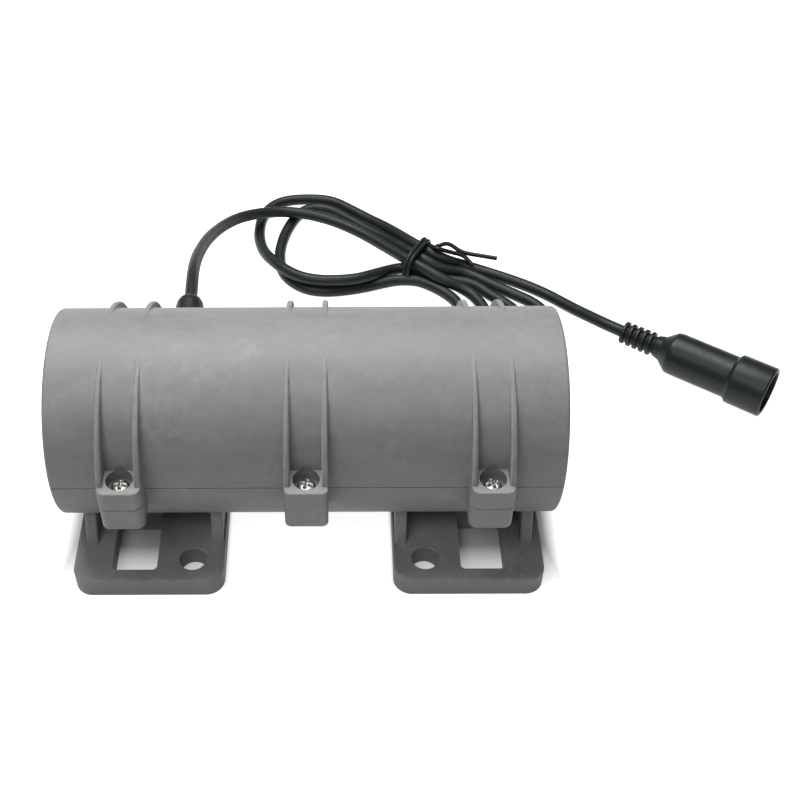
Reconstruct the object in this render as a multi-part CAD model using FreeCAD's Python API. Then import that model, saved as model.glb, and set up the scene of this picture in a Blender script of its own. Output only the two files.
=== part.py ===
"""Foot-mounted vibration motor: a double-shaft DC motor with two eccentric weights in a moulded housing.

Millimetres, +Z up. The origin lies on the mounting plane under the middle of the housing. The shaft
runs along X at axis_height, the feet rest on Z = 0 and the power lead leaves the back, towards +Y.
"""
import FreeCAD, Part
import math
import os

vec = FreeCAD.Vector

# Housing, two moulded half shells that part just below the shaft's height
axis_height = 32.0
shell_radius = 25.0
shell_wall = 2.5
shell_length = 119.1
shell_edge = 0.8
parting_drop = 0.4
parting_relief = 0.3

# Screw bosses, three along the front and three along the back
boss_spacing = 42.35
boss_width = 10.0
boss_stand_out = 6.7
boss_corner = 2.0
middle_boss_corner = 1.5
boss_edge = 0.4
flange_height = 5.3
outer_block_depth = 6.75
middle_block_depth = 6.0
skirt_thickness = 1.5
skirt_gap = 0.1
rib_thickness = 1.4
rib_drop = 7.2
rib_sink = 0.2
rib_edge = 0.45
rib_foot = 2.0
pocket_radius = 3.15
pocket_floor = 2.2

# Housing screws, self-tapping with a pan head and a cross recess
screw_inset = 4.5
screw_radius = 1.3
screw_length = 7.2
screw_head_radius = 2.15
screw_head_height = 1.5
screw_hole_clearance = 0.15
screw_pilot_clearance = 0.03
screw_tip_room = 0.3
recess_width = 0.55
recess_depth = 0.9
recess_reach = 1.25

# Feet, one plate under each end, on two cross webs
foot_overhang = 15.15
foot_length = 36.7
foot_stand_out = 0.4
foot_thickness = 5.75
foot_corner = 4.5
foot_edge = 0.5
foot_hole_inset_x = 7.7
foot_hole_inset_y = 6.7
foot_hole_radius = 3.3
foot_hole_chamfer = 0.2
window_length = 11.0
window_depth = 17.0
window_inset = 3.0
window_corner = 1.2
window_shift = 0.25
window_rib = 2.0
web_thickness = 2.9
web_foot_depth = 42.2
web_lean = 0.42
web_edge = 0.6
web_inset_outer = 2.4
web_inset_inner = 0.5

# Motor, a brushed DC type in a drawn steel can
motor_radius = 18.0
motor_length = 50.0
can_wall = 1.5
can_end = 2.0
cover_thickness = 3.0
cover_spigot_length = 2.0
cover_spigot_wall = 1.5
hub_wall = 1.7
hub_length = 2.5
hub_lip = 1.1
hub_bore = 4.0
hub_inner_lip = 0.4
hub_inner_recess = 1.4
cradle_centre = 13.0
cradle_width = 2.0
cradle_clearance = 0.05
bulkhead_bore = 16.0
bulkhead_thickness = 2.2
bulkhead_clearance = 0.1
ring_root = 0.5

# Ball bearings, 5 x 13 x 4
shaft_radius = 2.5
shaft_end_room = 1.75
bearing_radius = 6.5
bearing_width = 4.0
bearing_pitch_radius = 4.5
ring_land = 0.75
ball_radius = 1.1
ball_count = 7
ball_clearance = 0.03
cage_thickness = 0.5
cage_width = 2.8
press_clearance = 0.01

# Magnets
magnet_thickness = 3.88
magnet_half_angle = 68.0
magnet_x0 = -9.0
magnet_length = 28.0
magnet_clearance = 0.02
clip_thickness = 0.8
clip_half_angle = 21.7
clip_clearance = 0.1

# Armature
air_gap = 0.5
core_x0 = -4.5
core_length = 20.0
core_hub_radius = 5.0
tooth_count = 5
tooth_width = 3.0
tooth_tip = 1.75
tooth_half_angle = 31.0
insulator_thickness = 0.8
insulator_step = 0.2
winding_clearance = 0.4
winding_tip_gap = 0.35
winding_end_gap = 0.05
winding_bore_gap = 0.5
stem_sink = 0.5
winding_overhang = 4.2
lead_ring_radius = 6.2
lead_ring_length = 1.1
lead_ring_overlap = 0.1

# Commutator, brushes and terminals
commutator_radius = 6.0
commutator_hub_radius = 4.6
commutator_clearance = 0.02
commutator_length = 8.0
riser_radius = 6.9
riser_length = 1.4
riser_gap = 0.3
bar_half_angle = 34.0
commutator_collar = 0.2
commutator_end_gap = 0.1
spacer_radius = 3.7
brush_length_x = 5.0
brush_width = 4.0
brush_wear_gap = 0.05
brush_top = 11.5
brush_foot = 4.8
brush_offset = 1.2
holder_wall = 0.5
holder_clearance = 0.05
holder_foot = 7.2
holder_top = 15.0
bracket_top = 13.0
spring_radius = 1.5
spring_wire = 0.4
spring_turns = 4
spring_points = 8
spring_end_gap = 0.02
terminal_thickness = 0.6
terminal_low = 5.0
terminal_high = 8.0
terminal_y = 12.0
terminal_reach = 7.5

# Eccentric weights
weight_radius = 17.5
weight_motor_gap = 10.5
weight_hub_radius = 6.5
weight_end_gap = 1.5
grub_radius = 1.5
grub_clearance = 0.02
grub_length = 3.8
grub_socket = 0.75
grub_socket_depth = 1.6
grub_seat_gap = 0.01

# Lead: grommet with a bend sleeve, and the two motor wires inside
cord_diameter = 3.5
lead_x = -32.0
grommet_radius = 3.6
grommet_flange = 1.6
grommet_neck_radius = 2.9
grommet_hole_clearance = 0.05
grommet_set_back = 0.5
sleeve_base_radius = 4.4
sleeve_base_length = 1.95
sleeve_radius = 3.7
sleeve_taper = 6.5
sleeve_straight = 4.3
sleeve_dome = 3.2
sleeve_dome_steps = 4
wire_diameter = 1.3
wire_spread = 0.9
wire_height = 6.5
wire_straight = 2.0
wire_bend_shift = 1.0

# Connector on the far end, a round in-line socket
connector_angle = -35.0
connector_start = vec(89.9, 54.9, 7.15)
ridge_count = 5
ridge_radius = 3.4
ridge_groove = 2.7
ridge_growth = 0.1
ridge_share = 0.6
ridge_length = 10.1
neck_radius = 3.1
neck_length = 5.0
neck_flare = 0.6
shoulder_rise = 0.8
shoulder_length = 1.2
connector_radius = 6.1
connector_length = 43.9
collar_radius = 7.15
collar_length = 10.9
collar_step = 1.1
collar_chamfer = 0.4
mouth_radius = 6.0
mouth_depth = 19.0
barrel_radius = 4.8
barrel_recess = 6.5
barrel_bore = 2.8
barrel_floor = 3.0
sleeve_wall = 0.3
sleeve_setback = 0.4
pin_radius = 1.05
pin_setback = 1.0
pin_clearance = 0.01
insulator_clearance = 0.02

# Hank of spare lead, held by a twist tie
tie_centre = vec(31.8, 91.4, 0.0)
tie_angle = -43.95
tie_width = 1.6
tie_thickness = 1.0
tie_clearance = 0.1
tie_wire = 1.2
tie_corner = 2.5
tie_bed_half_length = 3.0
tie_bed_half_width = 12.0
waist_half_width = 5.4
waist_low = 1.2
waist_high = 8.0
waist_half_length = 9.0
waist_corner = 1.5
one_layer = 3.6
two_layers = 7.0
bend_share = 0.45

power_lead_points = [
    (-32.0, 41.0, 32.0), (-32.4, 50.5, 31.4), (-32.8, 60.5, 28.6), (-32.5, 71.5, 24.5), (-31.2, 83.0, 20.0),
    (-28.6, 94.5, 15.2), (-24.2, 104.6, 11.0), (-19.0, 110.4, 8.3), (-13.5, 113.6, 6.6), (-8.5, 114.6, 5.9)]
connector_lead_points = [
    (38.0, 93.4, 3.0), (43.8, 93.0, 2.2), (53.5, 88.7, 1.8), (63.5, 83.3, 1.8), (71.0, 78.0, 1.9),
    (77.6, 69.8, 3.3), (82.4, 62.9, 5.5), (86.0, 58.2, 6.8), (89.9, 54.9, 7.15)]
left_loop_outside = [
    (29.5, 107.5), (17.0, 120.5), (8.0, 128.0), (-3.0, 129.5), (-14.5, 126.5), (-20.0, 116.0),
    (-19.6, 102.0), (-15.0, 87.5), (-8.0, 79.5), (1.0, 76.3), (10.0, 77.0), (19.0, 79.8),
    (25.5, 82.0), (29.0, 88.5), (32.5, 93.5)]
left_loop_inside = [
    (23.5, 95.5), (14.0, 105.5), (6.0, 111.7), (-2.5, 111.9), (-7.5, 106.5), (-9.4, 97.0),
    (-7.5, 89.0), (-1.0, 84.0), (9.0, 83.6), (18.0, 87.0)]
front_bundle = [
    (-15.8, 95.0), (-14.4, 86.5), (-8.0, 79.5), (1.0, 76.3), (10.0, 77.0), (19.0, 79.8), (26.5, 82.5),
    (29.5, 87.0), (26.0, 89.8), (18.0, 87.0), (9.0, 83.6), (-1.0, 84.0), (-7.5, 89.0), (-10.2, 95.0)]
lead_crossing = [
    (-20.0, 112.5), (-12.0, 112.2), (-2.0, 111.8), (7.0, 111.0), (9.0, 114.0), (6.0, 116.4),
    (-3.0, 117.0), (-12.0, 117.2), (-19.5, 116.6)]
right_loop_outside = [
    (34.0, 95.0), (44.0, 86.5), (56.0, 80.0), (66.5, 73.5), (73.0, 64.5), (72.8, 54.0), (67.0, 44.0),
    (58.0, 37.8), (48.0, 39.5), (43.2, 49.0), (43.4, 62.0), (41.0, 74.0), (34.0, 82.5), (30.5, 88.0)]
right_loop_inside = [(53.4, 62.0), (54.6, 54.5), (60.0, 52.5), (60.6, 58.5), (57.0, 64.5)]
tie_long_end = [(36.4, 95.2, 8.2), (43.0, 94.0, 8.8), (50.0, 90.2, 9.0), (56.5, 86.6, 9.0)]
tie_short_end = [(35.0, 93.2, 8.8), (41.3, 92.1, 8.0), (48.6, 87.9, 6.4)]

# Places worked out from the sizes
shell_half = shell_length / 2
shell_bore = shell_radius - shell_wall
boss_reach = shell_radius + boss_stand_out
parting_height = axis_height - parting_drop
screw_y = boss_reach - screw_inset
foot_outer = boss_spacing + foot_overhang
foot_inner = foot_outer - foot_length
foot_half_depth = boss_reach + foot_stand_out
foot_hole_x = foot_inner + foot_hole_inset_x
foot_hole_y = foot_half_depth - foot_hole_inset_y
motor_half = motor_length / 2
can_bore = motor_radius - can_wall
cover_x = -motor_half + cover_thickness
hub_radius = bearing_radius + hub_wall
hub_end = motor_half + hub_length
bearing_outer_face = hub_end - hub_lip
bearing_inner_face = bearing_outer_face - bearing_width
bearing_bore_radius = shaft_radius + press_clearance
magnet_outer = can_bore - magnet_clearance
magnet_inner = magnet_outer - magnet_thickness
core_radius = magnet_inner - air_gap
core_end = core_x0 + core_length
winding_start = core_x0 - insulator_thickness - winding_overhang
winding_end = core_end + insulator_thickness + winding_overhang
winding_outer = core_radius - tooth_tip - winding_tip_gap
commutator_end = winding_start - lead_ring_length
riser_end = commutator_end - riser_gap
riser_start = riser_end - riser_length
commutator_start = riser_start - commutator_length
brush_x0 = riser_start - brush_offset - brush_length_x
shaft_half = shell_half - shell_wall - shaft_end_room
weight_outer_face = shaft_half - weight_end_gap
weight_inner_face = motor_half + weight_motor_gap
grommet_face = shell_bore - grommet_set_back
sleeve_y = shell_radius + grommet_hole_clearance
boss_centres = (-boss_spacing, 0.0, boss_spacing)
fronts_and_backs = (-1, 1)


def save(name, shapes):
    """Write one node: a solid, or a group of separate solids."""
    shape = Part.makeCompound(shapes) if isinstance(shapes, list) else shapes
    shape.exportStep("parts/" + name + ".step")
    print(name, "solids", len(shape.Solids), "volume", round(shape.Volume, 1), "valid", shape.isValid())


def box(x0, x1, y0, y1, z0, z1):
    return Part.makeBox(x1 - x0, y1 - y0, z1 - z0, vec(x0, y0, z0))


def rod_x(radius, x0, x1):
    return Part.makeCylinder(radius, x1 - x0, vec(x0, 0, axis_height), vec(1, 0, 0))


def rod_z(radius, z0, z1, x=0.0, y=0.0):
    return Part.makeCylinder(radius, z1 - z0, vec(x, y, z0), vec(0, 0, 1))


def tube_x(outer, inner, x0, x1):
    return rod_x(outer, x0, x1).cut(rod_x(inner, x0 - 1, x1 + 1))


def turned(shape, angle):
    """A copy turned about the shaft, from +Y towards +Z."""
    copy = shape.copy()
    copy.rotate(vec(0, 0, axis_height), vec(1, 0, 0), angle)
    return copy


def sector_x(inner, outer, middle, half_angle, x0, x1):
    """A sector of a ring about the shaft; its middle is an angle from +Y towards +Z."""
    def point(radius, offset):
        turn = math.radians(middle + offset)
        return vec(x0, radius * math.cos(turn), axis_height + radius * math.sin(turn))

    edges = [
        Part.Arc(point(outer, -half_angle), point(outer, 0), point(outer, half_angle)).toShape(),
        Part.LineSegment(point(outer, half_angle), point(inner, half_angle)).toShape(),
        Part.Arc(point(inner, half_angle), point(inner, 0), point(inner, -half_angle)).toShape(),
        Part.LineSegment(point(inner, -half_angle), point(outer, -half_angle)).toShape()]
    return Part.Face(Part.Wire(edges)).extrude(vec(x1 - x0, 0, 0))


def along(shape, direction):
    """The straight edges of a shape that run along a direction."""
    return [edge for edge in shape.Edges if isinstance(edge.Curve, Part.Line)
            and edge.Curve.Direction.getAngle(direction) % math.pi < 1e-6]


def rounded_block(x0, x1, y0, y1, z0, z1, corner):
    """A block whose upright edges are rounded."""
    block = box(x0, x1, y0, y1, z0, z1)
    return block.makeFillet(corner, [edge for edge in block.Edges if edge.BoundBox.ZLength > z1 - z0 - 0.01])


def round_top(block, z, radius):
    """Round the edges of a block that lie at height z."""
    top = [edge for edge in block.Edges if edge.BoundBox.ZMin > z - 0.001 and edge.BoundBox.ZLength < 0.001]
    return block.makeFillet(radius, top)


def corner_arc(before, corner, after):
    """The arc that rounds a corner, from one run to the other, and its radius."""
    back = before.sub(corner)
    ahead = after.sub(corner)
    reach = bend_share * min(back.Length, ahead.Length)
    half_turn = (math.pi - back.getAngle(ahead)) / 2
    radius = reach / math.tan(half_turn)
    start = corner.add(vec(back).normalize().multiply(reach))
    end = corner.add(vec(ahead).normalize().multiply(reach))
    inward = start.add(end).multiply(0.5).sub(corner).normalize()
    middle = corner.add(inward.multiply(radius / math.cos(half_turn) - radius))
    return start, middle, end, radius


def rounded_route(points):
    """A wire of straight runs joined by tangent arcs, with its arc radii and its length."""
    route = [vec(*point) for point in points]
    edges = []
    radii = []
    here = route[0]
    for before, corner, after in zip(route, route[1:], route[2:]):
        start, middle, end, radius = corner_arc(before, corner, after)
        edges.append(Part.LineSegment(here, start).toShape())
        edges.append(Part.Arc(start, middle, end).toShape())
        radii.append(round(radius, 1))
        here = end
    edges.append(Part.LineSegment(here, route[-1]).toShape())
    return Part.Wire(edges), radii


def rounded_outline(points):
    """A flat closed face on Z = 0 whose corners are rounded."""
    corners = [vec(x, y, 0) for x, y in points]
    arcs = [corner_arc(corners[index - 1], corners[index], corners[(index + 1) % len(corners)])
            for index in range(len(corners))]
    edges = []
    for index, (start, middle, end, _) in enumerate(arcs):
        edges.append(Part.Arc(start, middle, end).toShape())
        edges.append(Part.LineSegment(end, arcs[(index + 1) % len(arcs)][0]).toShape())
    return Part.Face(Part.Wire(edges))


def cord_tube(points, diameter):
    """A round cord along a route, and the radii of its bends."""
    wire, radii = rounded_route(points)
    start = vec(*points[0])
    heading = vec(*points[1]).sub(start)
    ring = Part.Wire(Part.makeCircle(diameter / 2, start, heading))
    tube = wire.makePipeShell([ring], True, False)
    print("  route length", round(wire.Length, 1), "radii", radii,
          "volume ratio", round(tube.Volume / (math.pi * diameter ** 2 / 4 * wire.Length), 4))
    return tube


def revolved(profile, base, direction, across):
    """A solid turned about an axis from its (distance along, radius) outline."""
    points = [base.add(vec(direction).multiply(d)).add(vec(across).multiply(r)) for d, r in profile]
    wire = Part.makePolygon(points + [points[0]])
    return Part.Face(wire).revolve(base, direction, 360)


def housing_body():
    """The outer cylinder of the housing, both halves together."""
    body = rod_x(shell_radius, -shell_half, shell_half)
    return body.makeFillet(shell_edge, [edge for edge in body.Edges if isinstance(edge.Curve, Part.Circle)])


def housing_bore():
    return rod_x(shell_bore, -shell_half + shell_wall, shell_half - shell_wall)


def motor_cradles():
    """Rings that hold the motor and bulkheads that stop it from sliding."""
    bulkhead = motor_half + bulkhead_clearance
    rings = []
    for side in (-1, 1):
        middle = side * cradle_centre
        rings.append(tube_x(shell_bore + ring_root, motor_radius + cradle_clearance,
                            middle - cradle_width / 2, middle + cradle_width / 2))
        ends = sorted((side * bulkhead, side * (bulkhead + bulkhead_thickness)))
        rings.append(tube_x(shell_bore + ring_root, bulkhead_bore, ends[0], ends[1]))
    return rings


def boss_block(x, z0, z1, reach, corner):
    """The block that one front boss and one back boss share, before the bore is cut."""
    half = boss_width / 2
    return rounded_block(x - half, x + half, -reach, reach, z0, z1, corner)


def boss_ribs(x):
    """Two thin fins that run from a boss up the shell and down to the boss behind."""
    radius = shell_radius + rib_drop
    rib_centre = axis_height - rib_drop - rib_sink
    above = box(x - boss_width, x + boss_width, -boss_reach, boss_reach,
                axis_height + rib_foot, axis_height + shell_radius + 1)
    ribs = []
    for low in (x - boss_width / 2, x + boss_width / 2 - rib_thickness):
        disc = Part.makeCylinder(radius, rib_thickness, vec(low, 0, rib_centre), vec(1, 0, 0))
        rims = [edge for edge in disc.Edges if isinstance(edge.Curve, Part.Circle)]
        ribs.append(disc.makeFillet(rib_edge, rims).common(above))
    return ribs


def middle_skirt_block():
    """The middle boss below the parting plane."""
    return boss_block(0.0, axis_height - middle_block_depth, parting_height, boss_reach, middle_boss_corner)


def parting_groove():
    """A shallow step around the lower rim of the upper shell, which draws the parting line."""
    z0 = parting_height - 0.01
    z1 = parting_height + parting_relief
    inset = rod_x(shell_radius - parting_relief, -shell_half + parting_relief, shell_half - parting_relief)
    blocks = [rounded_block(x - boss_width / 2 + parting_relief, x + boss_width / 2 - parting_relief,
                            -boss_reach + parting_relief, boss_reach - parting_relief, z0, z1, boss_corner)
              for x in (-boss_spacing, boss_spacing)]
    middle = box(-boss_width, boss_width, -boss_reach - 1, boss_reach + 1, z0, z1)
    band = box(-shell_half - 1, shell_half + 1, -boss_reach - 1, boss_reach + 1, z0, z1)
    middle = middle.cut(box(-boss_width, boss_width, -shell_radius, shell_radius, z0 - 1, z1 + 1))
    return band.cut(inset).cut(blocks).cut(middle)


def grommet_hole():
    radius = grommet_neck_radius + grommet_hole_clearance
    return Part.makeCylinder(radius, shell_wall + 4, vec(lead_x, shell_bore - 2, axis_height), vec(0, 1, 0))


def upper_shell():
    top = box(-shell_half, shell_half, -boss_reach, boss_reach,
              parting_height, axis_height + 2 * shell_radius)
    pieces = []
    for x in boss_centres:
        corner = boss_corner if x else middle_boss_corner
        flange = boss_block(x, parting_height, axis_height + flange_height, boss_reach, corner)
        pieces.append(round_top(flange, axis_height + flange_height, boss_edge))
        pieces.extend(boss_ribs(x))
    skirt = middle_skirt_block()
    skirt_back = boss_reach - skirt_thickness
    skirt = skirt.cut(box(-boss_width, boss_width, -skirt_back, skirt_back, 0, axis_height + 1))
    shell = housing_body().common(top).multiFuse(pieces).cut(housing_bore())
    shell = shell.fuse([ring.common(top) for ring in motor_cradles()])
    cuts = [parting_groove(), grommet_hole()]
    pocket_top = axis_height + shell_radius
    for x in boss_centres:
        for side in fronts_and_backs:
            y = side * screw_y
            cuts.append(rod_z(pocket_radius, axis_height + pocket_floor, pocket_top, x, y))
            cuts.append(rod_z(screw_radius + screw_hole_clearance, axis_height - 1, pocket_top, x, y))
    return shell.cut(cuts).fuse(skirt).removeSplitter()


def foot_web(x0, x1):
    """A cross web between foot and shell, narrower towards its top."""
    low = foot_thickness / 2
    half_low = web_foot_depth / 2 + web_lean * (foot_thickness - low)
    half_high = half_low - web_lean * (axis_height - low)
    outline = [vec(x0, -half_low, low), vec(x0, half_low, low),
               vec(x0, half_high, axis_height), vec(x0, -half_high, axis_height)]
    web = Part.Face(Part.makePolygon(outline + [outline[0]])).extrude(vec(x1 - x0, 0, 0))
    slanted = [edge for edge in web.Edges if abs(edge.tangentAt(edge.FirstParameter).z) > 0.5]
    return web.makeFillet(web_edge, slanted)


def foot_plate(side):
    """One foot with its two bolt holes, its two windows, the ribs behind them and its two cross webs."""
    ends = sorted((side * foot_inner, side * foot_outer))
    plate = rounded_block(ends[0], ends[1], -foot_half_depth, foot_half_depth,
                          0, foot_thickness, foot_corner)
    plate = round_top(plate, foot_thickness, foot_edge)
    walls = []
    for near, far in ((foot_inner + web_inset_inner, foot_inner + web_inset_inner + web_thickness),
                      (foot_outer - web_inset_outer - web_thickness, foot_outer - web_inset_outer)):
        faces = sorted((side * near, side * far))
        walls.append(foot_web(faces[0], faces[1]))
    window_x = side * (boss_spacing + window_shift)
    window_far = boss_reach - window_inset
    window_near = window_far - window_depth
    cuts = []
    for back in fronts_and_backs:
        window_y = sorted((back * window_far, back * window_near))
        cuts.append(rounded_block(window_x - window_length / 2, window_x + window_length / 2,
                                  window_y[0], window_y[1], -1, foot_thickness + 1, window_corner))
        rib_y = sorted((back * window_near, back * (window_near - window_rib)))
        walls.append(box(window_x - window_length / 2, window_x + window_length / 2, rib_y[0], rib_y[1],
                         foot_thickness / 2, axis_height - shell_bore))
        x = side * foot_hole_x
        y = back * foot_hole_y
        cuts.append(rod_z(foot_hole_radius, -1, foot_thickness + 1, x, y))
        cuts.append(Part.makeCone(foot_hole_radius, foot_hole_radius + 2 * foot_hole_chamfer,
                                  2 * foot_hole_chamfer, vec(x, y, foot_thickness - foot_hole_chamfer)))
    return plate.cut(cuts).fuse(walls)


def lower_shell():
    bottom = box(-shell_half, shell_half, -boss_reach, boss_reach,
                 axis_height - 2 * shell_radius, parting_height)
    pieces = [foot_plate(-1), foot_plate(1)]
    for x in (-boss_spacing, boss_spacing):
        pieces.append(boss_block(x, axis_height - outer_block_depth, parting_height,
                                 boss_reach, boss_corner))
    inner_reach = boss_reach - skirt_thickness - skirt_gap
    pieces.append(middle_skirt_block().common(box(-boss_width, boss_width, -inner_reach, inner_reach,
                                                  0, axis_height)))
    shell = housing_body().common(bottom).multiFuse(pieces).cut(housing_bore())
    shell = shell.fuse([ring.common(bottom) for ring in motor_cradles()])
    pilot_end = axis_height + pocket_floor - screw_length - screw_tip_room
    cuts = [grommet_hole()]
    for x in boss_centres:
        for side in fronts_and_backs:
            cuts.append(rod_z(screw_radius + screw_pilot_clearance, pilot_end, axis_height + 1,
                              x, side * screw_y))
    return shell.cut(cuts).removeSplitter()


def housing_screw(x, y):
    """One pan-head screw, seated on the floor of its pocket."""
    seat = axis_height + pocket_floor
    dome_radius = (screw_head_radius ** 2 + screw_head_height ** 2) / (2 * screw_head_height)
    dome = Part.makeSphere(dome_radius, vec(x, y, seat + screw_head_height - dome_radius))
    rim = rod_z(screw_head_radius, seat, seat + screw_head_height, x, y)
    head = rim.common(dome.fuse(rod_z(screw_head_radius, seat, seat + screw_head_height / 3, x, y)))
    half = recess_width / 2
    top = seat + screw_head_height
    slots = [box(x - recess_reach, x + recess_reach, y - half, y + half, top - recess_depth, top + 1),
             box(x - half, x + half, y - recess_reach, y + recess_reach, top - recess_depth, top + 1)]
    shank_end = seat - screw_length
    shank = rod_z(screw_radius, shank_end + screw_radius, seat, x, y)
    tip = Part.makeCone(screw_radius / 2, screw_radius, screw_radius, vec(x, y, shank_end))
    return head.cut(slots).fuse([shank, tip])


def bearing_hub(side):
    """The cup in a motor end that holds one ball bearing, as its solid and its bore."""
    inner = side * bearing_inner_face
    wall = sorted((inner - side * hub_inner_lip, side * hub_end))
    pocket = sorted((inner - side * hub_inner_recess, side * bearing_outer_face))
    through = sorted((inner, side * (hub_end + 1)))
    solid = rod_x(hub_radius, wall[0], wall[1])
    bore = rod_x(bearing_radius + press_clearance, pocket[0], pocket[1])
    return solid, bore.fuse(rod_x(hub_bore, through[0], through[1]))


def motor_can():
    hub, bore = bearing_hub(1)
    can = rod_x(motor_radius, cover_x, motor_half).cut(rod_x(can_bore, cover_x - 1, motor_half - can_end))
    return can.fuse(hub).cut(bore)


def terminal_span(side):
    """Lowest and highest Z of the terminal on one side of the shaft."""
    return sorted((axis_height + side * terminal_low, axis_height + side * terminal_high))


def brush_end_cover():
    hub, bore = bearing_hub(-1)
    spigot_radius = can_bore - magnet_clearance
    spigot = tube_x(spigot_radius, spigot_radius - cover_spigot_wall, cover_x - 0.5,
                    cover_x + cover_spigot_length)
    slots = []
    for side in (-1, 1):
        low, high = terminal_span(side)
        slots.append(box(-motor_half - 1, cover_x + 1, terminal_y - holder_clearance,
                         terminal_y + terminal_thickness + holder_clearance,
                         low - holder_clearance, high + holder_clearance))
    return rod_x(motor_radius, -motor_half, cover_x).fuse([hub, spigot]).cut(bore).cut(slots)


def magnet(middle):
    return sector_x(magnet_inner, magnet_outer, middle, magnet_half_angle,
                    magnet_x0, magnet_x0 + magnet_length)


def magnet_clip(middle):
    """A bowed steel strip that presses the two magnets against the can."""
    outer = magnet_outer - clip_clearance
    return sector_x(outer - clip_thickness, outer, middle, clip_half_angle,
                    magnet_x0, magnet_x0 + magnet_length)


def bearing_places(side):
    """Lowest and highest X of the bearing on one side, and its middle."""
    low, high = sorted((side * bearing_inner_face, side * bearing_outer_face))
    return low, high, (low + high) / 2


def ball_track(side):
    middle = bearing_places(side)[2]
    return Part.makeTorus(bearing_pitch_radius, ball_radius + ball_clearance,
                          vec(middle, 0, axis_height), vec(1, 0, 0))


def bearing_outer_ring(side):
    low, high, _ = bearing_places(side)
    return tube_x(bearing_radius, bearing_pitch_radius + ring_land, low, high).cut(ball_track(side))


def bearing_inner_ring(side):
    low, high, _ = bearing_places(side)
    return tube_x(bearing_pitch_radius - ring_land, bearing_bore_radius, low, high).cut(ball_track(side))


def bearing_balls(side, radius):
    middle = bearing_places(side)[2]
    ball = Part.makeSphere(radius, vec(middle, bearing_pitch_radius, axis_height))
    return [turned(ball, 360.0 * index / ball_count) for index in range(ball_count)]


def bearing_cage(side):
    middle = bearing_places(side)[2]
    half = cage_thickness / 2
    ring = tube_x(bearing_pitch_radius + half, bearing_pitch_radius - half,
                  middle - cage_width / 2, middle + cage_width / 2)
    return ring.cut(bearing_balls(side, ball_radius + ball_clearance))


def tooth_outline(tip_radius, x0, x1):
    """The toothed section of the armature between two places on the shaft."""
    stem = box(x0, x1, 0, tip_radius - stem_sink,
               axis_height - tooth_width / 2, axis_height + tooth_width / 2)
    tip = sector_x(core_radius - tooth_tip, tip_radius, 0, tooth_half_angle, x0, x1)
    teeth = []
    for index in range(tooth_count):
        teeth.append(turned(stem, 360.0 * index / tooth_count))
        teeth.append(turned(tip, 360.0 * index / tooth_count))
    hub = rod_x(core_hub_radius, x0, x1)
    return hub.multiFuse(teeth).cut(rod_x(bearing_bore_radius, x0 - 1, x1 + 1))


def armature_winding():
    """The five coils as one body, with the ring of wire ends beside the commutator."""
    coils = tube_x(winding_outer, core_hub_radius + winding_clearance, winding_start, winding_end)
    ring = tube_x(lead_ring_radius, shaft_radius + winding_bore_gap,
                  winding_start - lead_ring_length, winding_start + lead_ring_overlap)
    half = tooth_width / 2 + winding_clearance
    reach = insulator_thickness + winding_end_gap
    stem = box(core_x0 - reach, core_end + reach, 0, core_radius, axis_height - half, axis_height + half)
    stems = [turned(stem, 360.0 * index / tooth_count) for index in range(tooth_count)]
    return coils.cut(stems).fuse(ring)


def commutator_hub():
    return tube_x(commutator_hub_radius, bearing_bore_radius, commutator_start - commutator_collar,
                  commutator_end - commutator_end_gap)


def commutator_bar(index):
    """One copper segment with its riser."""
    inner = commutator_hub_radius + commutator_clearance
    middle = 360.0 * index / tooth_count + 180.0 / tooth_count
    bar = sector_x(inner, commutator_radius, middle, bar_half_angle, commutator_start, riser_start)
    return bar.fuse(sector_x(inner, riser_radius, middle, bar_half_angle, riser_start, riser_end))


def flipped(shape, side):
    """The shape as drawn above the shaft, or turned half round below it."""
    return shape if side > 0 else turned(shape, 180)


def brush(side):
    block = box(brush_x0, brush_x0 + brush_length_x, -brush_width / 2, brush_width / 2,
                axis_height + brush_foot, axis_height + brush_top)
    face = rod_x(commutator_radius + brush_wear_gap, commutator_start, riser_start)
    return flipped(block.cut(face), side)


def brush_holder(side):
    """A brass box that guides one brush, on a bracket from the end cover."""
    room = holder_clearance
    wall = holder_clearance + holder_wall
    half = brush_width / 2
    outer = box(brush_x0 - wall, brush_x0 + brush_length_x + wall, -half - wall, half + wall,
                axis_height + holder_foot, axis_height + holder_top)
    inner = box(brush_x0 - room, brush_x0 + brush_length_x + room, -half - room, half + room,
                axis_height + holder_foot - 1, axis_height + holder_top - holder_wall)
    bracket = box(cover_x, brush_x0 - wall, -half - wall, half + wall,
                  axis_height + holder_foot, axis_height + bracket_top)
    return flipped(outer.cut(inner).fuse(bracket), side)


def brush_spring(side):
    """A compression spring between the brush and the closed end of its holder."""
    low = axis_height + brush_top + spring_wire / 2 + spring_end_gap
    high = axis_height + holder_top - holder_wall - spring_wire / 2 - spring_end_gap
    centre = brush_x0 + brush_length_x / 2
    steps = spring_turns * spring_points
    points = []
    for step in range(steps + 1):
        turn = 2 * math.pi * step / spring_points
        points.append((centre + spring_radius * math.cos(turn), spring_radius * math.sin(turn),
                       low + (high - low) * step / steps))
    return flipped(cord_tube(points, spring_wire), side)


def terminal(side):
    """A brass strip from the brush holder that ends in a tab outside the end cover."""
    low, high = terminal_span(side)
    strip_start = brush_width / 2 + holder_clearance + holder_wall
    strip = box(cover_x, cover_x + terminal_thickness,
                strip_start, terminal_y + terminal_thickness, low, high)
    tab = box(-motor_half - terminal_reach, cover_x + terminal_thickness,
              terminal_y, terminal_y + terminal_thickness, low, high)
    return strip.fuse(tab).removeSplitter()


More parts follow.
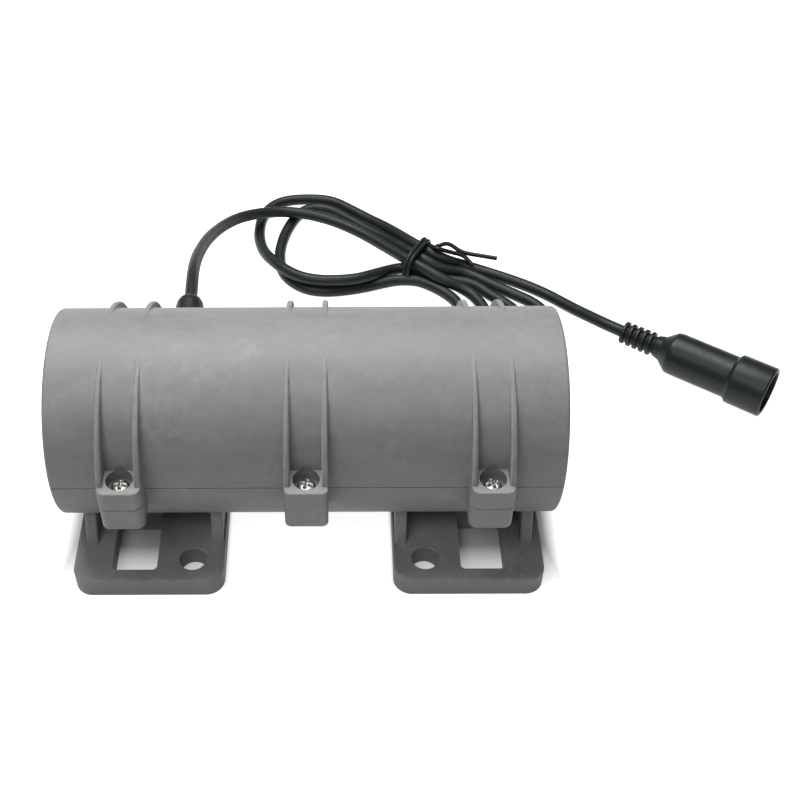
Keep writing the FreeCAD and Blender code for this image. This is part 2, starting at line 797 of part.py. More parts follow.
def motor_wire(side):
    """A wire from one terminal to the grommet."""
    end = terminal_y + terminal_thickness
    inside = grommet_face - grommet_flange
    points = [(lead_x, inside, axis_height + side * wire_spread),
              (lead_x, inside - wire_straight, axis_height + side * wire_spread),
              (lead_x, (inside + end) / 2 - wire_bend_shift, axis_height + side * wire_height),
              (lead_x, end, axis_height + side * wire_height)]
    return cord_tube(points, wire_diameter)


def shaft_spacer(x0, x1):
    return tube_x(spacer_radius, bearing_bore_radius, x0, x1)


def eccentric_weight(side):
    """A half-round steel weight on a full hub, with a threaded hole for its set screw."""
    x0, x1 = sorted((side * weight_inner_face, side * weight_outer_face))
    below = box(x0, x1, -weight_radius, weight_radius, axis_height - weight_radius, axis_height)
    half_disc = rod_x(weight_radius, x0, x1).common(below)
    hole = rod_z(grub_radius + grub_clearance, axis_height, axis_height + weight_hub_radius + 1,
                 (x0 + x1) / 2)
    body = half_disc.fuse(rod_x(weight_hub_radius, x0, x1)).removeSplitter()
    return body.cut([rod_x(bearing_bore_radius, x0 - 1, x1 + 1), hole])


def set_screw(side):
    """A headless screw with a hexagon socket that grips the shaft."""
    x = side * (weight_inner_face + weight_outer_face) / 2
    low = axis_height + bearing_bore_radius + grub_seat_gap
    top = low + grub_length
    body = rod_z(grub_radius, low, top, x)
    turns = [math.radians(60 * corner) for corner in range(7)]
    corners = [vec(x + grub_socket * math.cos(turn), grub_socket * math.sin(turn), top) for turn in turns]
    socket = Part.Face(Part.makePolygon(corners)).extrude(vec(0, 0, -grub_socket_depth))
    return body.cut(socket)


def strain_relief():
    """The rubber grommet in the parting line, with its tapered bend sleeve."""
    flange_end = grommet_face
    flange_start = flange_end - grommet_flange
    taper_start = sleeve_y + sleeve_base_length
    taper_end = taper_start + sleeve_taper
    dome_start = taper_end + sleeve_straight
    profile = [(flange_start, 0), (flange_start, grommet_radius), (flange_end, grommet_radius),
               (flange_end, grommet_neck_radius), (sleeve_y, grommet_neck_radius),
               (sleeve_y, sleeve_base_radius), (taper_start, sleeve_base_radius),
               (taper_end, sleeve_radius), (dome_start, sleeve_radius)]
    for step in range(1, sleeve_dome_steps + 1):
        turn = math.radians(90.0 * step / sleeve_dome_steps)
        profile.append((dome_start + sleeve_dome * math.sin(turn),
                        cord_diameter / 2 + (sleeve_radius - cord_diameter / 2) * math.cos(turn)))
    profile.append((dome_start + sleeve_dome, 0))
    return revolved(profile, vec(lead_x, 0, axis_height), vec(0, 1, 0), vec(1, 0, 0))


def connector_turned(profile):
    """Turn a connector profile about the connector's own axis and lay it in its place."""
    turn = math.radians(connector_angle)
    direction = vec(math.cos(turn), math.sin(turn), 0)
    return revolved(profile, connector_start, direction, vec(0, 0, 1))


def connector_housing():
    step = ridge_length / ridge_count
    profile = [(0, 0)]
    for index in range(ridge_count):
        near = index * step
        profile.append((near, ridge_radius - ridge_growth * (ridge_count - index) / ridge_count))
        profile.append((near + ridge_share * step, ridge_radius))
        profile.append((near + ridge_share * step, ridge_groove))
        profile.append((near + step, ridge_groove))
    shoulder = ridge_length + neck_length
    collar = connector_length - collar_length
    mouth_floor = connector_length - mouth_depth
    profile += [(ridge_length, neck_radius), (ridge_length + neck_length / 2, neck_radius + neck_flare),
                (shoulder, connector_radius - shoulder_rise), (shoulder + shoulder_length, connector_radius),
                (collar, connector_radius), (collar + collar_step, collar_radius),
                (connector_length - collar_chamfer, collar_radius),
                (connector_length, collar_radius - collar_chamfer),
                (connector_length, mouth_radius), (mouth_floor, mouth_radius), (mouth_floor, 0)]
    return connector_turned(profile)


def socket_insulator():
    low = connector_length - mouth_depth
    high = connector_length - barrel_recess
    floor = low + barrel_floor
    hole = pin_radius + pin_clearance
    outside = mouth_radius - insulator_clearance
    return connector_turned([(low, hole), (low, outside), (floor, outside), (floor, barrel_radius),
                             (high, barrel_radius), (high, barrel_bore),
                             (floor, barrel_bore), (floor, hole)])


def socket_sleeve():
    low = connector_length - mouth_depth + barrel_floor
    high = connector_length - barrel_recess - sleeve_setback
    outer = barrel_bore - pin_clearance
    inner = outer - sleeve_wall
    return connector_turned([(low, inner), (low, outer), (high, outer), (high, inner)])


def socket_pin():
    low = connector_length - mouth_depth
    high = connector_length - barrel_recess - pin_setback
    return connector_turned([(low, 0), (low, pin_radius), (high - pin_radius / 2, pin_radius),
                             (high, pin_radius / 2), (high, 0)])


def laid_on_tie(shape):
    """Turn a shape drawn at the origin along X to the twist tie's place and direction."""
    shape.rotate(vec(0, 0, 0), vec(0, 0, 1), tie_angle)
    shape.translate(tie_centre)
    return shape


def slab(outline, height):
    return rounded_outline(outline).extrude(vec(0, 0, height))


def cable_hank():
    """The wound lead: two loops on the left, two on the right and the tied waist between them."""
    left = slab(left_loop_outside, one_layer).cut(slab(left_loop_inside, one_layer + 1))
    right = slab(right_loop_outside, two_layers).cut(slab(right_loop_inside, two_layers + 1))
    gap = laid_on_tie(box(-tie_bed_half_length, tie_bed_half_length, -tie_bed_half_width, tie_bed_half_width,
                          -1, two_layers + 1))
    waist = box(-waist_half_length, waist_half_length, -waist_half_width, waist_half_width,
                waist_low, waist_high)
    waist = laid_on_tie(waist.makeFillet(waist_corner, along(waist, vec(1, 0, 0))))
    loops = left.multiFuse([slab(front_bundle, two_layers), slab(lead_crossing, two_layers), right])
    return loops.cut(gap).fuse(waist).removeSplitter()


def twist_tie():
    """A flat band round the waist, whose two ends stand out to the right."""
    half = waist_half_width + tie_clearance
    low = waist_low - tie_clearance
    high = waist_high + tie_clearance
    wall = tie_thickness
    inner = box(-tie_width, tie_width, -half, half, low, high)
    outer = box(-tie_width / 2, tie_width / 2, -half - wall, half + wall, low - wall, high + wall)
    inner = inner.makeFillet(waist_corner, along(inner, vec(1, 0, 0)))
    band = laid_on_tie(outer.makeFillet(tie_corner, along(outer, vec(1, 0, 0))).cut(inner))
    ends = [cord_tube(tie_long_end, tie_wire), cord_tube(tie_short_end, tie_wire)]
    return band.fuse(ends)


os.makedirs("parts", exist_ok=True)

save("upper_shell", upper_shell())
save("lower_shell", lower_shell())
save("housing_screws", [housing_screw(x, side * screw_y) for x in boss_centres for side in fronts_and_backs])
save("motor_can", motor_can())
save("brush_end_cover", brush_end_cover())
save("magnet_front", magnet(180))
save("magnet_back", magnet(0))
save("magnet_clips", [magnet_clip(90), magnet_clip(270)])
save("brushes", [brush(1), brush(-1)])
save("brush_holders", [brush_holder(1), brush_holder(-1)])
save("brush_springs", [brush_spring(1), brush_spring(-1)])
save("terminals", [terminal(1), terminal(-1)])
save("red_wire", motor_wire(1))
save("black_wire", motor_wire(-1))
for label, end_side in (("rear", -1), ("front", 1)):
    save(label + "_bearing_outer_ring", bearing_outer_ring(end_side))
    save(label + "_bearing_inner_ring", bearing_inner_ring(end_side))
    save(label + "_bearing_balls", bearing_balls(end_side, ball_radius))
    save(label + "_bearing_cage", bearing_cage(end_side))
save("shaft", rod_x(shaft_radius, -shaft_half, shaft_half))
save("armature_core", tooth_outline(core_radius, core_x0, core_end))
insulator_tip = core_radius - insulator_step
save("core_insulator_rear", tooth_outline(insulator_tip, core_x0 - insulator_thickness, core_x0))
save("core_insulator_front", tooth_outline(insulator_tip, core_end, core_end + insulator_thickness))
save("armature_winding", armature_winding())
save("commutator_hub", commutator_hub())
save("commutator_bars", [commutator_bar(index) for index in range(tooth_count)])
save("shaft_spacer_rear", shaft_spacer(-bearing_inner_face, commutator_start - commutator_collar))
save("shaft_spacer_front", shaft_spacer(core_end + insulator_thickness, bearing_inner_face))
for label, end_side in (("left", -1), ("right", 1)):
    save("eccentric_weight_" + label, eccentric_weight(end_side))
save("weight_set_screws", [set_screw(-1), set_screw(1)])
save("strain_relief", strain_relief())
save("power_lead", cord_tube(power_lead_points, cord_diameter))
save("cable_hank", cable_hank())
save("twist_tie", twist_tie())
save("connector_lead", cord_tube(connector_lead_points, cord_diameter))
save("connector_housing", connector_housing())
save("socket_insulator", socket_insulator())
save("socket_sleeve", socket_sleeve())
save("socket_pin", socket_pin())
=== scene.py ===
"""Looks of a foot-mounted vibration motor, dressed round its solids.

Metres, +Z up. The rotor shaft runs along X, the feet rest on the floor and the lead leaves the back.
"""

import math

import bmesh
import bpy
from mathutils import Matrix, Vector


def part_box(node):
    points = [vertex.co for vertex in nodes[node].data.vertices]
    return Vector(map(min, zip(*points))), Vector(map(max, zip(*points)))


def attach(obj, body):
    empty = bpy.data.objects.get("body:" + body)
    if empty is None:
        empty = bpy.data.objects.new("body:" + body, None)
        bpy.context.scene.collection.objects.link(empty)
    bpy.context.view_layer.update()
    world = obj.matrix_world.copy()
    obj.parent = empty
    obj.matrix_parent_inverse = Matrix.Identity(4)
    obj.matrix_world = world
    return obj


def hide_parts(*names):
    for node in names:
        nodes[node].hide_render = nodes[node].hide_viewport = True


bl_info = {
    "name": "Vibration Motor Looks",
    "version": (1, 0, 0),
    "blender": (4, 5, 0),
    "location": "3D Viewport > Sidebar > Vibration Motor",
    "description": "Moulded housing, screws, tied lead, round socket and inner motor, with a studio",
    "category": "Object",
}

MM = 0.001

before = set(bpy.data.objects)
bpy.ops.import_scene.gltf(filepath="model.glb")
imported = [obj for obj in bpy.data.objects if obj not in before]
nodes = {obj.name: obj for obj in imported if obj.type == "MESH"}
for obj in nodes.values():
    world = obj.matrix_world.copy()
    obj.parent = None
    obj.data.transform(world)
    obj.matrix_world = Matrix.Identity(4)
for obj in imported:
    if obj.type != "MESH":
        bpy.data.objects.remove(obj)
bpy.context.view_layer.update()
shell_low, shell_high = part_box("lower_shell")
shaft_low, shaft_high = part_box("shaft")
shaft_height = (shaft_low.z + shaft_high.z) / 2

# The lead's control points in millimetres, from the bend sleeve to the socket. The first stretch and the
# last are single, and the middle is wound into two loops on the left and two on the right of the twist tie.
LEAD_FROM_SLEEVE = [
    (-32.0, 41.0, 32.0), (-32.4, 50.5, 31.4), (-32.8, 60.5, 28.6), (-32.5, 71.5, 24.5),
    (-31.2, 83.0, 20.0), (-28.6, 94.5, 15.2), (-24.2, 104.6, 11.0), (-19.0, 110.4, 8.3),
    (-13.5, 113.6, 6.6), (-8.5, 114.6, 5.9)]
FIRST_PASS_TO_TIE = [
    (-2.0, 113.7, 5.6), (6.3, 111.3, 4.7), (15.0, 106.2, 3.8), (23.1, 97.3, 4.6), (30.1, 88.7, 6.1),
    (34.7, 85.2, 5.6), (39.3, 81.8, 4.7)]
RIGHT_OUTER_LOOP = [
    (46.8, 79.6, 2.2), (50.4, 74.9, 1.8), (52.7, 67.6, 1.8), (52.5, 59.2, 1.8), (55.6, 52.6, 1.8),
    (61.6, 50.2, 1.8), (67.6, 52.6, 1.8), (71.2, 59.0, 1.8), (71.1, 66.6, 1.8), (67.4, 73.4, 1.8),
    (60.7, 78.3, 1.8), (54.1, 83.1, 1.8), (47.3, 88.0, 2.2), (40.2, 87.1, 3.7), (34.0, 89.9, 6.1)]
LEFT_INNER_LOOP = [
    (28.5, 96.0, 5.2), (23.4, 104.3, 2.6), (17.4, 110.0, 1.8), (11.9, 115.1, 1.8), (6.3, 120.2, 1.8),
    (1.6, 122.3, 1.8), (-3.0, 121.2, 1.8), (-6.4, 117.0, 1.8), (-9.1, 109.9, 1.8), (-10.7, 102.4, 1.8),
    (-11.0, 95.7, 1.8), (-9.9, 89.4, 1.8), (-7.1, 84.6, 1.8), (-2.3, 80.8, 1.8), (3.3, 79.6, 1.8),
    (9.2, 80.2, 1.8), (15.7, 81.7, 1.8), (21.0, 83.6, 1.8), (25.8, 84.9, 1.9), (30.8, 84.3, 2.4)]
RIGHT_INNER_LOOP = [
    (34.9, 83.1, 2.0), (41.1, 78.2, 1.8), (44.5, 72.6, 1.8), (45.8, 64.5, 1.8), (45.4, 56.5, 1.8),
    (46.8, 48.0, 1.8), (52.2, 41.0, 1.8), (60.0, 39.6, 1.8), (66.4, 43.6, 3.0), (67.6, 50.6, 5.7),
    (65.0, 58.0, 4.8), (62.4, 66.4, 2.4), (59.5, 72.3, 1.8), (54.2, 77.4, 1.8), (48.4, 83.9, 1.8),
    (39.2, 84.7, 1.8), (33.3, 87.7, 2.8)]
LEFT_OUTER_LOOP = [
    (28.7, 90.3, 2.4), (23.8, 88.9, 2.6), (18.3, 83.9, 4.9), (13.3, 81.1, 5.6), (8.0, 80.5, 5.5),
    (2.2, 80.6, 5.4), (-3.7, 82.1, 5.4), (-8.9, 85.8, 5.4), (-13.1, 91.6, 4.6), (-16.0, 98.1, 2.8),
    (-17.5, 104.5, 1.8), (-18.0, 109.9, 1.8), (-17.3, 117.0, 1.8), (-14.6, 122.9, 1.8), (-9.7, 126.4, 1.8),
    (-1.7, 127.1, 1.8), (5.6, 126.1, 1.8), (12.0, 120.8, 1.8), (18.1, 115.2, 2.0), (23.6, 109.3, 3.2),
    (30.4, 99.6, 5.3), (35.1, 93.8, 6.2)]
LEAD_TO_SOCKET = [
    (41.4, 90.9, 4.6), (46.0, 91.9, 2.2), (53.5, 88.7, 1.8), (63.5, 83.3, 1.8), (71.0, 78.0, 1.9),
    (77.6, 69.8, 3.3), (82.4, 62.9, 5.5), (86.0, 58.2, 6.8), (89.9, 54.9, 7.15)]
LEAD_ROUTE = (LEAD_FROM_SLEEVE + FIRST_PASS_TO_TIE + RIGHT_OUTER_LOOP + LEFT_INNER_LOOP
              + RIGHT_INNER_LOOP + LEFT_OUTER_LOOP + LEAD_TO_SOCKET)

# The twist tie: its middle, the way the lead runs through it, how far a lap leans, one lap round the bundle
# as (across, height) points in millimetres, and its two free ends
TIE_CENTRE = Vector((32.2, 90.9, 0.0)) * MM
TIE_TURN = math.radians(-43.95)
TIE_SLANT = -0.2
TIE_LAP = [
    (7.2, 6.0), (6.2, 8.9), (1.0, 8.9), (-4.4, 8.7), (-6.7, 5.9), (-7.1, 2.4), (-5.6, 0.62), (0.0, 0.62),
    (4.2, 0.62), (5.9, 2.6)]
TIE_LAPS = 2
TIE_LONG_END = [
    (37.9, 93.1, 8.6), (39.3, 93.4, 8.6), (41.0, 94.5, 8.6), (42.8, 94.1, 8.2), (44.8, 92.9, 7.2),
    (47.3, 91.9, 6.6), (51.9, 91.1, 6.3), (56.8, 90.1, 6.0)]
TIE_SHORT_END = [
    (37.6, 92.1, 8.6), (40.1, 92.1, 7.8), (42.9, 92.1, 6.8), (45.8, 91.9, 6.2), (47.6, 90.9, 5.4),
    (49.2, 89.0, 4.3)]

# The round socket lies on the floor, starts where the lead ends and points to the front right. Its grip has
# ridges, each with the places in a pitch where its crest and its root start and end. The rest of the outline
# goes from the neck to the open mouth and down to the insert, as (distance, radius) points in millimetres.
SOCKET_START = Vector(LEAD_TO_SOCKET[-1]) * MM
SOCKET_TURN = math.radians(-35.0)
GRIP_RIDGES = 5
GRIP_PITCH = 2.02
GRIP_CREST = (0.12, 1.18)
GRIP_ROOT = (1.3, 1.9)
GRIP_RIDGE_RADIUS = 3.3
GRIP_RIDGE_GROWTH = 0.04
GRIP_ROOT_RADIUS = 2.55
GRIP_START_RADIUS = 2.3
SOCKET_BODY = [
    (10.3, 3.0), (12.4, 3.6), (15.2, 5.9), (16.4, 6.1), (33.0, 6.1), (33.9, 7.1), (43.5, 7.15), (43.9, 6.9),
    (43.9, 6.15), (43.4, 6.0), (25.2, 6.0), (25.0, 5.8), (25.0, 0.0)]
SOCKET_EDGE = 0.35 * MM

# The screws: where their seats are, how their domed heads, cross recesses and points are cut, and how deep
# painted shade darkens the recess
SCREW_SEAT = shaft_height + 2.2 * MM
RECESS_DEPTH = 0.95 * MM
RECESS_WALL = 0.14 * MM
RECESS_TAPER = 0.45
# Painted shade for the cross recess: its colour, and the depth above which none is painted.
RECESS_PAINTED_SHADE = (0.08, 0.078, 0.074, 1.0)
UNSHADED_DEPTH = 0.35 * MM
HEAD_RIM_SHARE = 0.42
HEAD_DOME_POWER = 3.2
SCREW_POINT_LENGTH = 1.2 * MM
SCREW_POINT_RADIUS = 0.35 * MM
SCREW_SEGMENTS = 48
HEAD_RINGS = 18
TURN_SEED = 7

# The stage. Away from the feet the floor glows to the camera: past the ends, between the feet, and in front
# and behind, each as the axis and where the glow starts and is full.
FLOOR_GLOW = (
    ("X", shell_high.x, shell_high.x + 4.0 * MM), ("X", 22.0 * MM, 20.0 * MM),
    ("Y", 17.0 * MM, shell_high.y + 0.5 * MM))
FLOOR_HALF_WIDTH = 4.0
FLOOR_GAP = 0.02 * MM
TOP_LIGHT_SIZE = (0.5, 0.4)
TOP_LIGHT_PLACE = (-0.06, 0.24, 0.6)
FILL_LIGHT_SIZE = (0.4, 0.25)
FILL_LIGHT_PLACE = (-0.16, -0.33, 0.56)
CAMERA_PLACE = (0.007325, -0.210908, 0.249436)
CAMERA_LOOKS = (-0.005875, 0.696236, -0.717789)
CAMERA_ROLL = math.radians(-0.59)
CAMERA_LENS = 55.74
CAMERA_SENSOR = 36.0
CAMERA_SHIFT = (0.0865, 0.0117)
CAMERA_CLIP = (0.01, 20.0)
WHITE = (1.0, 1.0, 1.0, 1.0)
BLACK = (0.0, 0.0, 0.0, 1.0)


# ---------------------------------------------------------------- shader recipes


class Wire:
    """A shader socket. Sums and products of wires add their own Math nodes."""

    def __init__(self, recipe, socket):
        self.recipe = recipe
        self.socket = socket

    def math(self, operation, left, right=0.0):
        return self.recipe.node("ShaderNodeMath", {"operation": operation}, {0: left, 1: right})

    def __add__(self, other):
        return self.math("ADD", self, other)

    def __sub__(self, other):
        return self.math("SUBTRACT", self, other)

    def __rsub__(self, other):
        return self.math("SUBTRACT", other, self)

    def __mul__(self, other):
        return self.math("MULTIPLY", self, other)

    __radd__ = __add__
    __rmul__ = __mul__


class Recipe:
    """One procedural material, written as expressions."""

    def __init__(self, name):
        self.material = bpy.data.materials.new(name)
        self.material.use_nodes = True
        self.tree = self.material.node_tree
        self.tree.nodes.clear()
        self.place = self.node("ShaderNodeTexCoord", output="Object")

    def node(self, kind, settings=None, sockets=None, output=0):
        """Add a node: its settings first, then its sockets' values or wires."""
        made = self.tree.nodes.new(kind)
        for key, value in (settings or {}).items():
            setattr(made, key, value)
        for key, value in (sockets or {}).items():
            if isinstance(value, Wire):
                self.tree.links.new(value.socket, made.inputs[key])
            else:
                made.inputs[key].default_value = value
        return Wire(self, made.outputs[output])

    def noise(self, scale, detail=2.0, roughness=0.5, vector=None):
        return self.node("ShaderNodeTexNoise", {}, {
            "Vector": vector or self.place, "Scale": scale, "Detail": detail, "Roughness": roughness})

    def stretched(self, x, y, z):
        """Object coordinates with each axis scaled, for grain that runs one way."""
        return self.node("ShaderNodeMapping", {}, {"Vector": self.place, "Scale": (x, y, z)})

    def between(self, value, low, high, out_low=0.0, out_high=1.0):
        """The value moved from one range to another and held inside it."""
        return self.node("ShaderNodeMapRange", {"clamp": True}, {
            "Value": value, "From Min": low, "From Max": high, "To Min": out_low, "To Max": out_high})

    def mix(self, share, first, second):
        return self.node("ShaderNodeMix", {"data_type": "RGBA", "clamp_factor": True}, {
            "Factor": share, 6: first, 7: second}, output=2)

    def edges(self, radius):
        """A mask that is high along convex and concave edges within a radius."""
        soft = self.node("ShaderNodeBevel", {"samples": 4}, {"Radius": radius})
        true = self.node("ShaderNodeNewGeometry", output="True Normal")
        likeness = self.node("ShaderNodeVectorMath", {"operation": "DOT_PRODUCT"},
                             {0: soft, 1: true}, "Value")
        return self.between(1.0 - likeness, 0.01, 0.16)

    def bump(self, height, strength, distance):
        return self.node("ShaderNodeBump", {}, {
            "Height": height, "Strength": strength, "Distance": distance})

    def surface(self, colour, roughness, metallic=0.0, normal=None, coat=0.0, specular=0.5):
        """Close the recipe with a Principled surface."""
        sockets = {"Base Color": colour, "Roughness": roughness, "Metallic": metallic, "Coat Weight": coat,
                   "Specular IOR Level": specular}
        if normal is not None:
            sockets["Normal"] = normal
        shader = self.node("ShaderNodeBsdfPrincipled", {}, sockets)
        self.node_output(shader)
        return self.material

    def node_output(self, shader):
        output = self.tree.nodes.new("ShaderNodeOutputMaterial")
        self.tree.links.new(shader.socket, output.inputs["Surface"])


def rgba(colour, factor=1.0):
    return tuple(min(1.0, channel * factor) for channel in colour[:3]) + (1.0,)


def moulded_housing(colour):
    """Grey glass-filled plastic: spark-eroded grain, faint flow marks, scuffed patches, and edges painted
    paler as wear and a painted highlight.
    """
    r = Recipe("housing_plastic")
    flow = r.noise(1.0, 4.0, 0.6, r.stretched(60, 90, 240))
    mottle = r.noise(420.0, 3.0, 0.65)
    speck = r.noise(2600.0, 1.0, 0.5)
    scuff = r.between(r.noise(55.0, 5.0, 0.7), 0.52, 0.68)
    tone = r.between(flow * 0.45 + mottle * 0.35 + speck * 0.2, 0.36, 0.64)
    base = r.mix(tone, rgba(colour, 0.86), rgba(colour, 1.13))
    scuffed = r.mix(scuff * r.between(mottle, 0.45, 0.6) * 0.5, base, rgba(colour, 1.3))
    # Edges painted paler: partly wear, partly a painted highlight along their rounded rims.
    edge_highlight_and_wear = r.mix(r.edges(0.35 * MM) * r.between(mottle, 0.3, 0.6, 0.25, 0.75), scuffed, rgba(colour, 1.75))
    grain = r.noise(1900.0, 2.0, 0.6) * 0.7 + r.noise(620.0, 2.0, 0.5) * 0.3
    return r.surface(edge_highlight_and_wear, r.between(tone - scuff * 0.4, 0.0, 1.0, 0.5, 0.66), 0.0,
                     r.bump(grain, 0.35, 0.05 * MM), 0.0, 0.45)


def moulded_rubber(name, colour, roughness, grain=1500.0, strength=0.15):
    """Dark soft plastic with a fine satin skin and a few handling marks."""
    r = Recipe(name)
    skin = r.noise(grain, 2.0, 0.5)
    marks = r.between(r.noise(160.0, 4.0, 0.7), 0.5, 0.75)
    base = r.mix(marks * 0.5, rgba(colour), rgba(colour, 1.8))
    return r.surface(base, r.between(skin + marks * 0.5, 0.3, 1.2, roughness - 0.07, roughness + 0.12), 0.0,
                     r.bump(skin, strength, 0.02 * MM), 0.0, 0.28)


def turned_metal(name, colour, roughness, lines=2600.0, axis="X", spread=0.1):
    """Metal with fine tool lines that run round an axis, and faint staining."""
    r = Recipe(name)
    scales = {"X": (lines, 12, 12), "Y": (12, lines, 12), "Z": (12, 12, lines)}[axis]
    tool = r.noise(1.0, 2.0, 0.6, r.stretched(*scales))
    stain = r.noise(240.0, 4.0, 0.6)
    base = r.mix(r.between(stain, 0.35, 0.7), rgba(colour, 0.82), rgba(colour, 1.08))
    polish = r.between(tool + stain * 0.5, 0.4, 1.1, roughness - spread, roughness + spread)
    return r.surface(base, polish, 1.0, r.bump(tool, 0.12, 0.01 * MM))


def plated_screw(colour):
    """Zinc with small dents, and painted shade darkening its recess."""
    r = Recipe("zinc_screw")
    dents = r.noise(2300.0, 3.0, 0.6)
    haze = r.noise(700.0, 3.0, 0.6)
    depth = r.node("ShaderNodeSeparateXYZ", {}, {0: r.place}, "Z")
    head_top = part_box("housing_screws")[1].z
    # Painted shade: the recess is painted darker the deeper it goes.
    recess_shade = r.between(depth, head_top - RECESS_DEPTH, head_top - UNSHADED_DEPTH, 0.75, 0.0)
    base = r.mix(r.between(haze, 0.3, 0.7), rgba(colour, 0.8), rgba(colour, 1.05))
    return r.surface(r.mix(recess_shade, base, RECESS_PAINTED_SHADE), r.between(haze, 0.3, 0.7, 0.3, 0.42), 1.0,
                     r.bump(dents, 0.06, 0.02 * MM))


def stacked_steel(name, colour):
    """Thin laminations stacked along the shaft."""
    r = Recipe(name)
    sheets = r.node("ShaderNodeTexWave", {"bands_direction": "X", "wave_profile": "SAW"}, {
        "Vector": r.place, "Scale": 320.0, "Distortion": 0.3, "Detail": 1.0}, "Fac")
    rust = r.noise(300.0, 4.0, 0.6)
    base = r.mix(sheets * 0.6, rgba(colour, 0.7), rgba(colour, 1.1))
    return r.surface(base, r.between(rust, 0.3, 0.7, 0.35, 0.55), 0.9, r.bump(sheets, 0.4, 0.04 * MM))


def wound_copper(name, colour):
    """Enamelled wire in layers: fine stripes along the slots with a lacquer gloss."""
    r = Recipe(name)
    wires = r.node("ShaderNodeTexWave", {"bands_direction": "DIAGONAL", "wave_profile": "SIN"}, {
        "Vector": r.stretched(0.25, 1, 1), "Scale": 700.0, "Distortion": 1.5, "Detail": 2.0}, "Fac")
    base = r.mix(wires, rgba(colour, 0.55), rgba(colour, 1.15))
    return r.surface(base, 0.3, 0.85, r.bump(wires, 0.6, 0.08 * MM), 0.4)


def pressed_powder(name, colour, metallic=0.0):
    """Sintered ferrite or carbon: dense dark grain with chipped specks."""
    r = Recipe(name)
    grain = r.noise(1700.0, 3.0, 0.7)
    chips = r.between(r.noise(520.0, 2.0, 0.5), 0.62, 0.7)
    base = r.mix(chips, r.mix(grain, rgba(colour, 0.7), rgba(colour, 1.3)), rgba(colour, 2.2))
    return r.surface(base, r.between(grain, 0.3, 0.7, 0.45, 0.65), metallic, r.bump(grain, 0.3, 0.03 * MM))


def studio_floor(colour, lift):
    """A pale sweep that stays white to the camera, but for the plain floor and its shadow under the feet."""
    r = Recipe("studio_floor")
    paper = r.noise(240.0, 3.0, 0.6)
    tone = r.mix(paper, rgba(colour, 0.985), rgba(colour))
    diffuse = r.node("ShaderNodeBsdfDiffuse", {}, {"Color": tone})
    clear = 0.0
    for axis, near, far in FLOOR_GLOW:
        offset = r.node("ShaderNodeSeparateXYZ", {}, {0: r.place}, axis)
        beyond = r.between(offset.math("ABSOLUTE", offset), near, far)
        clear = beyond.math("MAXIMUM", beyond, clear)
    light = r.mix(clear, BLACK, WHITE)
    glow = r.node("ShaderNodeEmission", {}, {"Color": light, "Strength": lift})
    both = r.node("ShaderNodeAddShader", {}, {0: diffuse, 1: glow})
    path = {key: r.node("ShaderNodeLightPath", output=key)
            for key in ("Is Camera Ray", "Is Glossy Ray", "Is Transmission Ray")}
    seen = path["Is Camera Ray"].math("MAXIMUM", path["Is Camera Ray"], path["Is Glossy Ray"])
    seen = seen.math("MAXIMUM", seen, path["Is Transmission Ray"])
    r.node_output(r.node("ShaderNodeMixShader", {}, {0: seen, 1: diffuse, 2: both}))
    return r.material


# ---------------------------------------------------------------- mesh helpers


def in_metres(points):
    return [Vector(point) * MM for point in points]


def new_object(name, data):
    made = bpy.data.objects.new(name, data)
    bpy.context.scene.collection.objects.link(made)
    return made


def built_mesh(name, builder):
    """Turn a bmesh into a mesh and let the bmesh go."""
    mesh = bpy.data.meshes.new(name)
    builder.to_mesh(mesh)
    builder.free()
    return mesh


def shade_smooth(mesh):
    for polygon in mesh.polygons:
        polygon.use_smooth = True


def mesh_of(holder):
    """A plain mesh of an object with its modifiers or its curve's thickness."""
    bpy.context.view_layer.update()
    return bpy.data.meshes.new_from_object(holder.evaluated_get(bpy.context.evaluated_depsgraph_get()))


def finish_nodes(material, *names):
    """Give solids of the frame their finished material."""
    for name in names:
        node = nodes[name]
        node.data.materials.clear()
        node.data.materials.append(material)


def softened(profile, radius, steps=4, most=0.45):
    """An outline with rounded corners, each within a radius and a share of the runs that meet there."""
    points = [Vector(point) for point in profile]
    rounded = [points[0]]
    for before, corner, after in zip(points, points[1:], points[2:]):
        back, ahead = before - corner, after - corner
        reach = min(radius, most * back.length, most * ahead.length)
        start = corner + back.normalized() * reach
        end = corner + ahead.normalized() * reach
        for step in range(steps + 1):
            share = step / steps
            rounded.append((1 - share) ** 2 * start + 2 * share * (1 - share) * corner + share ** 2 * end)
    rounded.append(points[-1])
    return rounded


def lathe(builder, profile, base, direction, segments=96, on_axis=1e-7):
    """Turn an outline of (distance, radius) points about an axis. It starts and ends on the axis."""
    axis = direction.normalized()
    across = axis.orthogonal().normalized()
    other = axis.cross(across)
    rings = []
    for distance, radius in profile:
        centre = base + axis * distance
        if radius < on_axis:
            rings.append([builder.verts.new(centre)])
            continue
        ring = []
        for index in range(segments):
            turn = 2 * math.pi * index / segments
            outward = across * math.cos(turn) + other * math.sin(turn)
            ring.append(builder.verts.new(centre + outward * radius))
        rings.append(ring)
    for first, second in zip(rings, rings[1:]):
        for index in range(segments):
            following = (index + 1) % segments
            if len(first) == 1:
                builder.faces.new((first[0], second[following], second[index]))
            elif len(second) == 1:
                builder.faces.new((first[index], first[following], second[0]))
            else:
                builder.faces.new((first[index], first[following], second[following], second[index]))
    bmesh.ops.recalc_face_normals(builder, faces=builder.faces[:])


